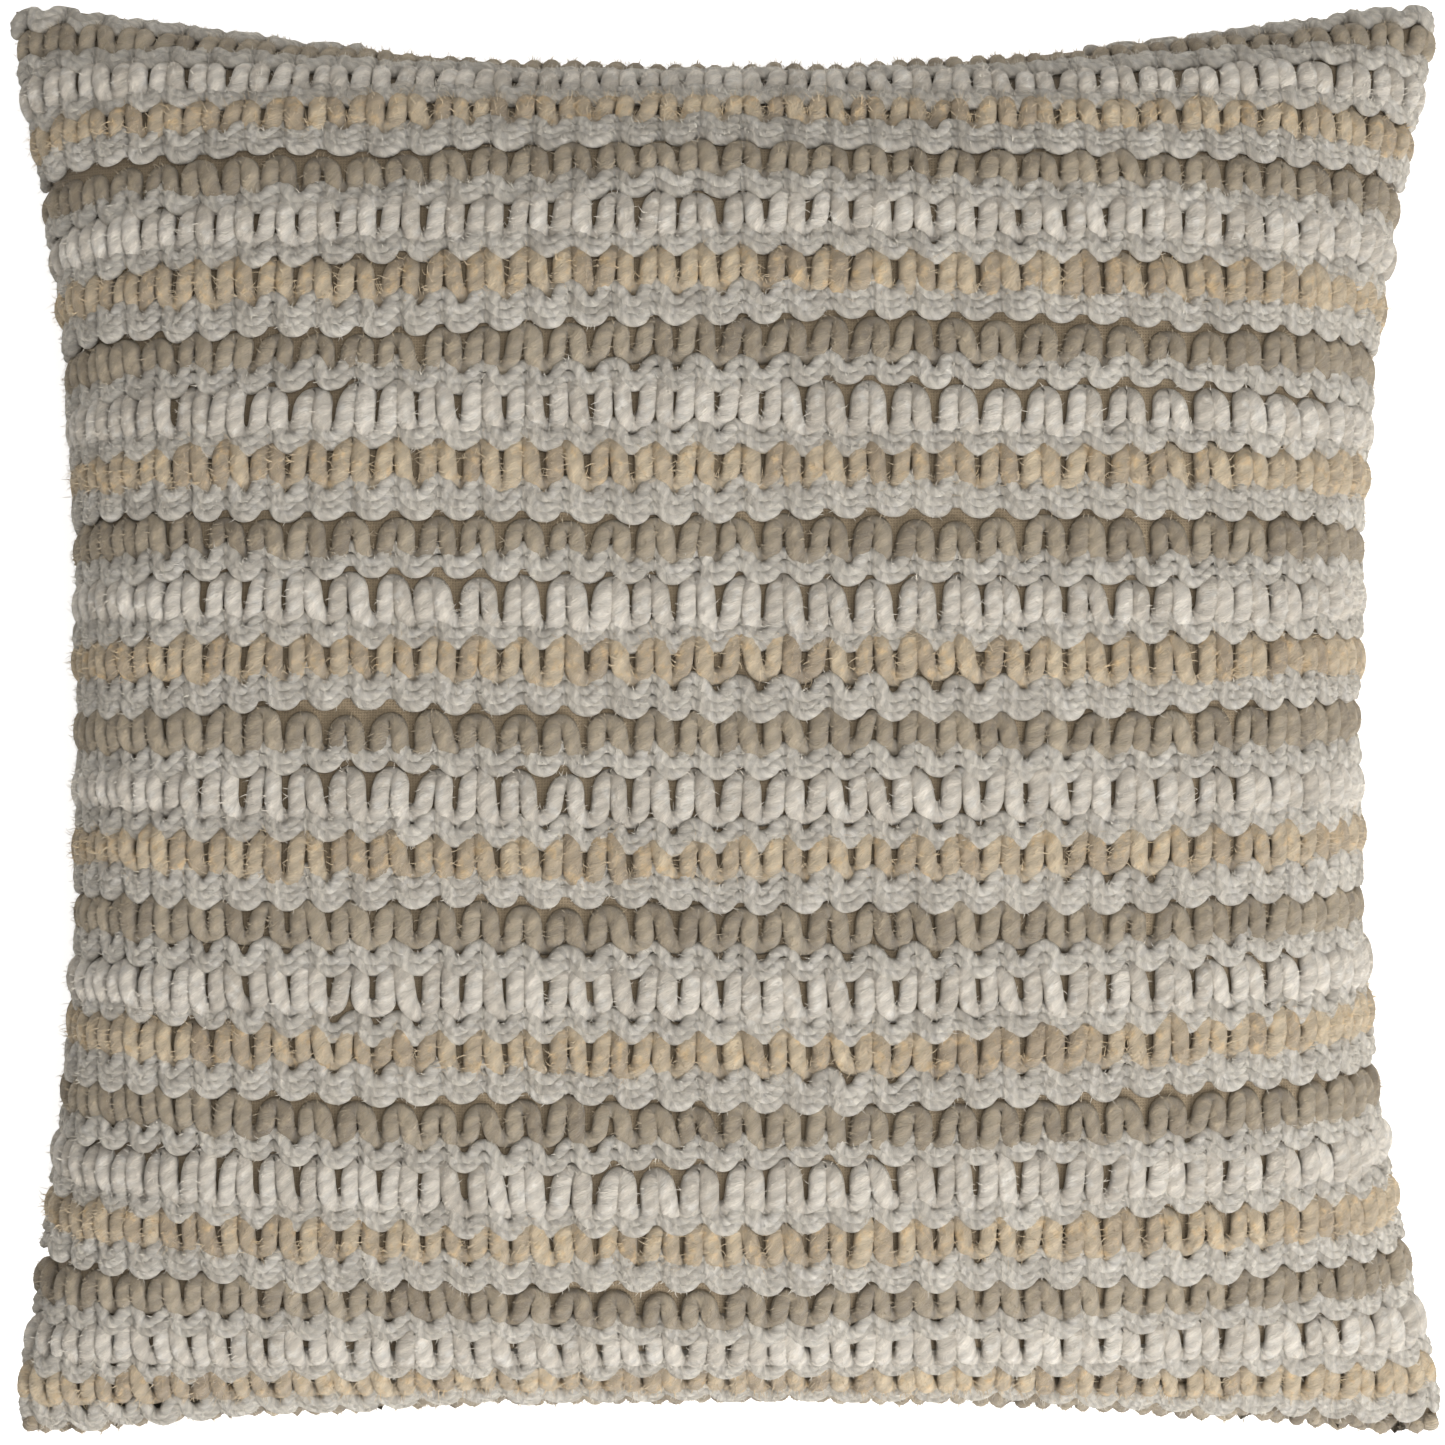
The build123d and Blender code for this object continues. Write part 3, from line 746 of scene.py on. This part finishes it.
def coloured_row(name, material, centre, seed, reach, radius, lift, bulge, dips, pressed, fuzz):
    """One row of coloured yarn."""
    path, normals, thickness, stitch, height = stitched(
        centre, reach, radius, lift, bulge, seed, dips, upright=0.9, pressed=pressed, jog=1.15
    )
    strands = Strands()
    # painted shade in the slots: up to 0.55 of the way to the shade colour where the strand sinks low
    slot_shade = 0.55 * np.clip(0.55 - height / (lift + bulge), 0, 1)
    tone = stitch_tone(stitch, seed)
    strands.add(path, normals, thickness, ROW_SIDES, tone, slot_shade, FLATTENING)
    add_fuzz(strands, path, normals, thickness, seed, ROW_HAIRS * STITCHES, fuzz)
    strands.build(name, name.replace("yarn_", "weft_"), material)


def chain_strands(strands, centre, chain, radius, lift, seed, span=(0, STITCHES)):
    """Nested zigzag strands beside a coloured row whose middle is at the centre. A chain gives,
    for each strand, how far above the centre its lowest points are, and its reach."""
    hairs = CHAIN_HAIRS * (span[1] - span[0])
    for index, (rise, reach) in enumerate(chain):
        path, normals, thickness, stitch, height = stitched(
            centre + rise + reach,
            reach,
            radius,
            lift,
            bulge=0.2,
            seed=seed,
            dips=(-0.5, 1.1),
            upright=0.3,
            pressed=0.0,
            jog=0.6,
            span=span,
        )
        drift = 0.5 * smooth_noise(stitch * PITCH - HALF, 14, seed + 20 + index)
        path = path + normals * drift[:, None]
        # painted shade where the chain strand sinks low, up to half the way to the shade colour
        slot_shade = 0.5 * np.clip(0.5 - height / (lift + 0.9), 0, 1)
        tone = stitch_tone(stitch, seed + index)
        strands.add(path, normals, thickness, CHAIN_SIDES, tone, slot_shade, FLATTENING)
        add_fuzz(strands, path, normals, thickness, seed + index, hairs, CHAIN_FUZZ)


KHAKI_STITCH = {
    "reach": 5.2, "radius": 3.1, "lift": 1.2, "bulge": 1.3, "dips": (0.8, 0.6), "pressed": 0.3, "fuzz": 1.8
}
IVORY_STITCH = {
    "reach": 6.5, "radius": 3.3, "lift": 1.7, "bulge": 1.9, "dips": (1.0, 1.6), "pressed": 0.5, "fuzz": 1.8
}
JUTE_STITCH = {
    "reach": 6.4, "radius": 3.15, "lift": 1.5, "bulge": 1.7, "dips": (1.0, 1.5), "pressed": 0.4, "fuzz": 3.0
}
KHAKI_CHAIN = ((-8.2, 2.6), (-10.9, 1.9))
IVORY_CHAIN = ((-9.6, 2.6), (-12.0, 2.0))
JUTE_CHAIN = ((-10.2, 2.9), (-13.2, 2.4), (-15.7, 1.8))
EAR_CHAIN = ((7.0, 2.6), (10.0, 2.6))
EAR_SPANS = ((0, 9), (27, STITCHES))  # stitches beside the top ears, where chains fill the room
REPEATS = 8

for number in range(1, REPEATS + 2):
    ivory = FIRST_IVORY - REPEAT * (number - 1)
    jute = ivory - JUTE_DROP
    khaki = ivory + KHAKI_RISE
    seed = 100 * number
    coloured_row(f"yarn_khaki_{number}", khaki_yarn, khaki + 0.9, seed, **KHAKI_STITCH)
    if number > REPEATS:
        break
    coloured_row(f"yarn_ivory_{number}", ivory_yarn, ivory + 0.6, seed + 30, **IVORY_STITCH)
    coloured_row(f"yarn_jute_{number}", jute_yarn, jute, seed + 60, **JUTE_STITCH)
    chains = Strands()
    chain_strands(chains, khaki, KHAKI_CHAIN, 2.3, 2.3, seed + 5)
    chain_strands(chains, ivory, IVORY_CHAIN, 2.3, 2.5, seed + 7)
    chain_strands(chains, jute, JUTE_CHAIN, 2.3, 2.5, seed + 9)
    for span in EAR_SPANS if number == 1 else ():
        chain_strands(chains, khaki, EAR_CHAIN, 2.5, 2.6, seed + 11, span)
    chains.build(f"yarn_chain_{number}", f"chain_rows_{number}", grey_yarn)


# ---------------------------------------------------------------- cover cloths

CROWDING = 6.0  # the shells' grid lines stand closer together near the rim, moved by up to this
LIP_WIDTH = 14.0  # the cloth beside the zip's opening turns outward over this width
SEAM_GAP = 0.3  # a cloth's inner side stays this far from the seam's level
COVER_CELLS = 120


def cloth_shell(name, cloth_map, thickness, fine, material, side, lips=True, roll=6.0):
    """Closed cloth over one face, with an inner side. Lips give it the zip's opening and the strip
    that shows past the rows along the top edge, which rises within the roll's width."""
    t = np.linspace(-HALF, HALF, fine + 1)
    t = t + CROWDING * np.sin(t / HALF * np.pi)
    across, up = np.meshgrid(t, t)
    outer = cloth_map.place(across, up)
    normal = cloth_map.normal(across, up)
    if lips:
        near_rim = np.clip((-HALF + LIP_WIDTH - up) / LIP_WIDTH, 0, 1)
        outer[..., 2] += side * mouth(outer[..., 0]) * near_rim
        near_top = np.clip((up - HALF + roll) / roll, 0, 1)
        outer[..., 1] += TOP_ROLL * near_top**0.6 * (1 - (across / HALF) ** 6)
    inner = outer - normal * thickness
    rim_low = outer[..., 2] * side < SEAM_Z * side
    outer[..., 2] = np.where(rim_low, SEAM_Z, outer[..., 2])
    inner_limit = SEAM_Z + side * SEAM_GAP
    inner[..., 2] = np.where(inner[..., 2] * side < inner_limit * side, inner_limit, inner[..., 2])
    quads = two_sided_quads(fine + 1, fine + 1)
    if side < 0:
        quads = quads[:, ::-1]
    points = np.vstack([outer.reshape(-1, 3), inner.reshape(-1, 3)])
    mesh = quad_mesh(name, points, quads)
    mesh.materials.append(material)
    return add_object(name, mesh)


def padded_cloth(node):
    """Hides the CAD node whose place a cloth shell takes."""
    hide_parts(node)


ground_piece = cloth_shell("cover_ground_cloth", ground, 1.2, COVER_CELLS, ground_cloth, 1)
padded_cloth("front_ground_cloth")
back_piece = cloth_shell("cover_back", back, 1.5, COVER_CELLS, back_cloth, -1, roll=24.0)
padded_cloth("back_panel")

# ---------------------------------------------------------------- seam, labels and insert


def plain_piece(name, node, material, points, quads):
    """Smooth piece of quads in the place of its CAD node."""
    mesh = quad_mesh(name, points, quads)
    mesh.materials.append(material)
    piece = add_object(name, mesh)
    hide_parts(node)
    return piece


def round_outline(inset, ear, start, stop, count):
    """Points round the outline, anticlockwise from the middle of the bottom edge; start and stop
    are shares of the way round."""
    share = np.linspace(start, stop, count) % 1 * 8
    u = np.select(
        [share < 1, share < 3, share < 5, share < 7], [share, 1.0, 4 - share, -1.0], share - 8
    )
    v = np.select([share < 1, share < 3, share < 5, share < 7], [-1.0, share - 2, 1.0, 6 - share], -1.0)
    return outline(u, v, inset, ear)


OVERLOCK_TURNS = 560
OVERLOCK_START = 0.097  # shares of the way round the outline, from one end of the zip
OVERLOCK_STOP = 0.899  # to the other
OVERLOCK_SWING = 0.0066  # in towards the middle and out, as a share of the distance to it
OVERLOCK_HALF_HEIGHT = 1.3
TURN_POINTS = 8

overlock = Strands()
count = OVERLOCK_TURNS * TURN_POINTS + 1
loops = np.linspace(0, OVERLOCK_TURNS * 2 * np.pi, count)
edge_x, edge_y = round_outline(11.5, 17.5, OVERLOCK_START, OVERLOCK_STOP, count)
swing_in = 1 - OVERLOCK_SWING * np.cos(loops)
overlock_z = SEAM_Z + OVERLOCK_HALF_HEIGHT * np.sin(loops)
overlock_path = np.stack([edge_x * swing_in, edge_y * swing_in, overlock_z], -1)
overlock.add(overlock_path, np.tile([0.01, 0.01, 1.01], (count, 1)), 0.3, 5, 0.5, 0.0)
overlock.build("seam_thread", "seam_overlock", thread)


def label_piece(name, node, count_x, count_y, wave, caught=0.0):
    """Thin ribbon label in its CAD node's place, slightly curled, with a front and a back; caught
    is how far it runs on towards -X, into the seam that holds it."""
    low, high = (np.array(corner) * 1000 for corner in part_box(node))
    u, v = np.meshgrid(np.linspace(0, 1, count_x), np.linspace(0, 1, count_y))
    length = high[0] - low[0] + caught
    x = high[0] - length * (1 - u)
    y = low[1] + (high[1] - low[1]) * v
    bend = wave * np.sin(u * np.pi) * np.cos(v * np.pi * 1.5)
    top = np.stack([x, y, high[2] + bend], -1).reshape(-1, 3)
    bottom = np.stack([x, y, low[2] + bend], -1).reshape(-1, 3)
    quads = two_sided_quads(count_y, count_x)
    piece = plain_piece(name, node, label_cloth, np.vstack([top, bottom]), quads)
    return piece


INSERT_LABEL_CAUGHT = 1.7  # the sheet as a whole is then just over 10 mm wide

label_piece("blank_care_label", "care_label", 14, 13, wave=0.12)
label_piece("blank_insert_label", "insert_label", 6, 16, wave=0.08, caught=INSERT_LABEL_CAUGHT)

INSERT_EDGE = 13.5  # the insert stops this far inside the outline, at the middles
INSERT_EAR = 45.0  # and this far at the ears
INSERT_FRONT_RISE = FRONT_RISE - 8.4
INSERT_BACK_RISE = BACK_RISE - 2.0
INSERT_FLOOR = 2.2  # the insert's back flattens at this height
INSERT_CELLS = 80
TICKING_THICKNESS = 0.8
FILLING_INSET = 1.5  # from the insert's edge to the filling's
FILLING_GAP = 1.2  # from the ticking's inner side to the filling
FILLING_FLOOR = 4.0
FILLING_CELLS = 80

insert_front = ClothMap(fitted(bag_front, INSERT_EDGE, INSERT_EAR, INSERT_FRONT_RISE, SEAM_Z), 1)
insert_back_bag = fitted(bag_back, INSERT_EDGE, INSERT_EAR, -INSERT_BACK_RISE, SEAM_Z)
insert_back = ClothMap(settled_flat(insert_back_bag, INSERT_FLOOR), -1)
for name, insert_map, side in (("ticking_front", insert_front, 1), ("ticking_back", insert_back, -1)):
    shell = cloth_shell(name, insert_map, TICKING_THICKNESS, INSERT_CELLS, ticking, side, lips=False)
    padded_cloth(f"insert_{name}")


def filling_piece():
    """Lumpy body of loose fibre that fills the insert."""
    size = FILLING_CELLS + 1
    t = np.linspace(-1, 1, size)
    across, up = np.meshgrid(t * HALF, t * HALF)
    edge = INSERT_EDGE + FILLING_INSET
    ear = INSERT_EAR + FILLING_INSET
    top_grid = fitted(bag_front, edge, ear, INSERT_FRONT_RISE - FILLING_GAP - TICKING_THICKNESS, SEAM_Z)
    low_bag = fitted(bag_back, edge, ear, -INSERT_BACK_RISE + FILLING_GAP + TICKING_THICKNESS, SEAM_Z)
    low_grid = settled_flat(low_bag, FILLING_FLOOR)
    inside = (1 - t[None, :] ** 8) * (1 - t[:, None] ** 8)
    sides = []
    for cloth_map, side in ((ClothMap(top_grid, 1), 1), (ClothMap(low_grid, -1), -1)):
        points = cloth_map.place(across, up)
        lumps = np.random.default_rng(7 + side).uniform(-0.7, 0.0, across.shape)
        sides.append(points + cloth_map.normal(across, up) * (lumps * inside)[..., None])
    numbers = np.arange(size * size).reshape(size, size)
    inner = np.zeros((size, size), bool)
    inner[1:-1, 1:-1] = True
    under = numbers.copy()
    under[inner] = size * size + np.arange((size - 2) ** 2)
    points = np.vstack([sides[0].reshape(-1, 3), sides[1][inner]])
    quads = np.vstack([grid_quads(numbers), grid_quads(under)[:, ::-1]])
    piece = plain_piece("loose_filling", "insert_filling", filling_fibre, points, quads)


filling_piece()

CLOSING_STITCHES = 14
BAR_POINTS = 7

closing = Strands()
stitch_low, stitch_high = (np.array(corner) * 1000 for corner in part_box("insert_closing_stitches"))
stitch_x = (stitch_low[0] + stitch_high[0]) / 2
for y in np.linspace(stitch_low[1] + 1.5, stitch_high[1] - 1.5, CLOSING_STITCHES):
    t = np.linspace(-1, 1, BAR_POINTS)
    bar = np.stack([stitch_x - 0.25 * (1 - t * t), y + 1.2 * t, SEAM_Z + 2.7 * t], -1)
    closing.add(bar, np.tile([-1.0, 0.0, 0.02], (BAR_POINTS, 1)), 0.35, 6, 0.5, 0.0)
closing.build("closing_thread", "insert_closing_stitches", thread)

# ---------------------------------------------------------------- zip

travel = next(j for j in frame["record"]["behaviour"]["joints"] if j["name"] == "slider_travel")
zip_centre = np.array(travel["pos_m"]) * 1000
zip_radius = -HALF_HEIGHT - DROP - zip_centre[1]
TAPE_END = 182.0  # half the tapes' length
COIL_END = 170.0  # and half the coils'
TAPE_INNER = 1.3  # from the seam to a tape's near edge, which clears the slider's post
TAPE_OUTER = 12.4
TAPE_THICKNESS = 0.55
HEM_INNER = 5.9
HEM_OUTER = 11.9
HEM_GAP = 0.2  # from a hem to its tape
HEM_CROWN = 0.25  # how much the outer side of a hem bulges
HEM_DEPTHS = {1: (8.4, 13.5), -1: (4.6, 9.1)}  # of its outer side, at its near and far edges
SWEEP_STEPS = 240
COIL_PITCH = 1.6
COIL_OFFSET = 1.8
COIL_DEPTH = 7.15
TURN_STEPS = 10  # points in one turn of a coil
TAPE_STITCH = 3.0  # length of one stitch on the tapes
TAPE_STITCH_OFFSET = 9.4


def zip_place(along, offset, depth):
    """Position on the zip: distance along it, offset above the seam, and depth inside the edge."""
    angle = np.asarray(along) / zip_radius
    reach = zip_radius + np.asarray(depth)
    x = zip_centre[0] + np.sin(angle) * reach
    y = zip_centre[1] + np.cos(angle) * reach
    return np.stack(np.broadcast_arrays(x, y, SEAM_Z + np.asarray(offset)), -1)


def tape_depth(offset):
    """Depth of a tape's outer face, at an offset from the seam."""
    return 8.0 + 0.82 * np.maximum(np.abs(offset) - 3.6, 0)


def swept(offsets, depths, end, steps, wave=0.0):
    """Closed profile carried along the zip, from one end to the other."""
    along = np.linspace(-end, end, steps)
    ripple = wave * np.sin(along / 7.0)[:, None]
    ring = zip_place(along[:, None], np.asarray(offsets)[None], np.asarray(depths)[None] + ripple)
    middle = ring.mean(1, keepdims=True)
    caps = [np.repeat(middle[:1], ring.shape[1], 1), np.repeat(middle[-1:], ring.shape[1], 1)]
    ring = np.concatenate([caps[0], ring, caps[1]], 0)
    numbers = np.arange(ring.shape[0] * ring.shape[1]).reshape(ring.shape[:2])
    wrapped = np.concatenate([numbers, numbers[:, :1]], 1)
    return ring.reshape(-1, 3), grid_quads(wrapped)


for side, label in ((1, "front"), (-1, "back")):
    across_tape = np.linspace(TAPE_INNER, TAPE_OUTER, 10)
    offsets = side * np.concatenate([across_tape, across_tape[::-1]])
    depths = np.concatenate([tape_depth(across_tape), tape_depth(across_tape[::-1]) + TAPE_THICKNESS])
    points, quads = swept(offsets, depths, TAPE_END, SWEEP_STEPS, 0.04)
    quads = quads if side > 0 else quads[:, ::-1]
    plain_piece(f"tape_{label}", f"zip_tape_{label}", tape_cloth, points, quads)

    near, far = HEM_DEPTHS[side]
    hem_width = np.linspace(HEM_INNER, HEM_OUTER, 8)
    share = (hem_width - HEM_INNER) / (HEM_OUTER - HEM_INNER)
    outer_face = near + (far - near) * share - HEM_CROWN * np.sin(share * np.pi)
    inner_face = tape_depth(hem_width[::-1]) - HEM_GAP
    offsets = side * np.concatenate([hem_width, hem_width[::-1]])
    depths = np.concatenate([outer_face, inner_face])
    points, quads = swept(offsets, depths, TAPE_END - 0.3, SWEEP_STEPS, 0.05)
    quads = quads if side > 0 else quads[:, ::-1]
    hem_material = ground_cloth if side > 0 else back_cloth
    plain_piece(f"hem_{label}", f"zip_hem_{label}", hem_material, points, quads)

    coil = Strands()
    turns = int(2 * COIL_END / COIL_PITCH)
    angle = np.linspace(0, turns * 2 * np.pi, turns * TURN_STEPS + 1) + (math.pi if side < 0 else 0)
    along = np.linspace(-COIL_END + 0.5, COIL_END - 0.5, len(angle))
    coil_offset = side * (COIL_OFFSET + 0.72 * np.cos(angle))
    coil_path = zip_place(along, coil_offset, COIL_DEPTH + 0.5 * np.sin(angle))
    outward = zip_place(along, side * COIL_OFFSET, COIL_DEPTH) - coil_path
    coil.add(coil_path, outward, 0.33, 6, 0.5, 0.0)
    coil.build(f"coil_{label}", f"zip_coil_{label}", coil_plastic)

tape_thread = Strands()
for side in (1, -1):
    offset = side * TAPE_STITCH_OFFSET
    along = np.linspace(-TAPE_END + 1, TAPE_END - 1, 121 * 6)
    wave = np.sin(along / TAPE_STITCH * 2 * np.pi)
    line = zip_place(along, offset, tape_depth(offset) + 0.8 + 0.12 * wave)
    inward = zip_place(along, offset, 20.0) - line
    tape_thread.add(line, inward, 0.18, 5, 0.5, 0.0)
tape_thread.build("tape_thread", "zip_stitching", thread)

for node_name in ("zip_slider", "zip_pull", "zip_top_stops", "zip_bottom_stop"):
    metal_node = frame["nodes"][node_name]
    metal_node.data.materials.clear()
    metal_node.data.materials.append(brass)

# ---------------------------------------------------------------- floor, light, camera: metres

CAMERA_DISTANCE = 1.62
PLAN_WIDTH = 0.5024  # width of the picture at the height of the seam
PICTURE_MIDDLE = (-0.0009, -0.0024)
SENSOR_WIDTH = 36.0  # in millimetres, as Blender takes it
FLOOR = 6.0  # half the floor's width
WORLD_STRENGTH = 0.38  # light from all round
BACKDROP_STRENGTH = 1.0  # how bright the world looks to the camera itself
AIM = Vector((0, 0, 0.05))

floor_mesh = bpy.data.meshes.new("floor")
floor_corners = [(-FLOOR, -FLOOR, 0), (FLOOR, -FLOOR, 0), (FLOOR, FLOOR, 0), (-FLOOR, FLOOR, 0)]
floor_mesh.from_pydata(floor_corners, [], [(0, 1, 2, 3)])
floor = bpy.data.objects.new("floor", floor_mesh)
bpy.context.scene.collection.objects.link(floor)
floor_paint, _, floor_shader = node_material("floor_paint")
floor_shader.inputs["Base Color"].default_value = (0.92, 0.92, 0.92, 1)
floor_shader.inputs["Roughness"].default_value = 0.9
floor_shader.inputs["Emission Color"].default_value = (1, 1, 1, 1)
floor_shader.inputs["Emission Strength"].default_value = 0.6
floor_mesh.materials.append(floor_paint)

world = bpy.data.worlds.new("studio")
bpy.context.scene.world = world
world.use_nodes = True
world_tree = world.node_tree
world_tree.nodes["Background"].inputs["Color"].default_value = (1, 1, 1, 1)
seen = world_tree.nodes.new("ShaderNodeLightPath").outputs["Is Camera Ray"]
world_light = maths(world_tree, "MULTIPLY_ADD", seen, BACKDROP_STRENGTH - WORLD_STRENGTH, WORLD_STRENGTH)
world_tree.links.new(world_light, world_tree.nodes["Background"].inputs["Strength"])


def soft_light(name, place, size, power):
    """Square area light aimed at the pillow."""
    data = bpy.data.lights.new(name, "AREA")
    data.shape = "SQUARE"
    data.size = size
    data.energy = power
    lamp = bpy.data.objects.new(name, data)
    lamp.location = place
    lamp.rotation_mode = "QUATERNION"
    lamp.rotation_quaternion = (AIM - Vector(place)).to_track_quat("-Z", "Y")
    bpy.context.scene.collection.objects.link(lamp)


soft_light("key", (0.85, -1.3, 1.4), 0.8, 41)
soft_light("fill", (0.35, 0.1, 1.9), 1.2, 22)

camera_data = bpy.data.cameras.new("camera")
camera_data.sensor_width = SENSOR_WIDTH
camera_data.lens = SENSOR_WIDTH * CAMERA_DISTANCE / PLAN_WIDTH
camera_data.clip_start = 0.05
camera_data.clip_end = 30
camera = bpy.data.objects.new("camera", camera_data)
camera.location = (PICTURE_MIDDLE[0], PICTURE_MIDDLE[1], SEAM_Z / 1000 + CAMERA_DISTANCE)
bpy.context.scene.collection.objects.link(camera)
bpy.context.scene.camera = camera
bpy.context.scene.view_settings.view_transform = "Standard"
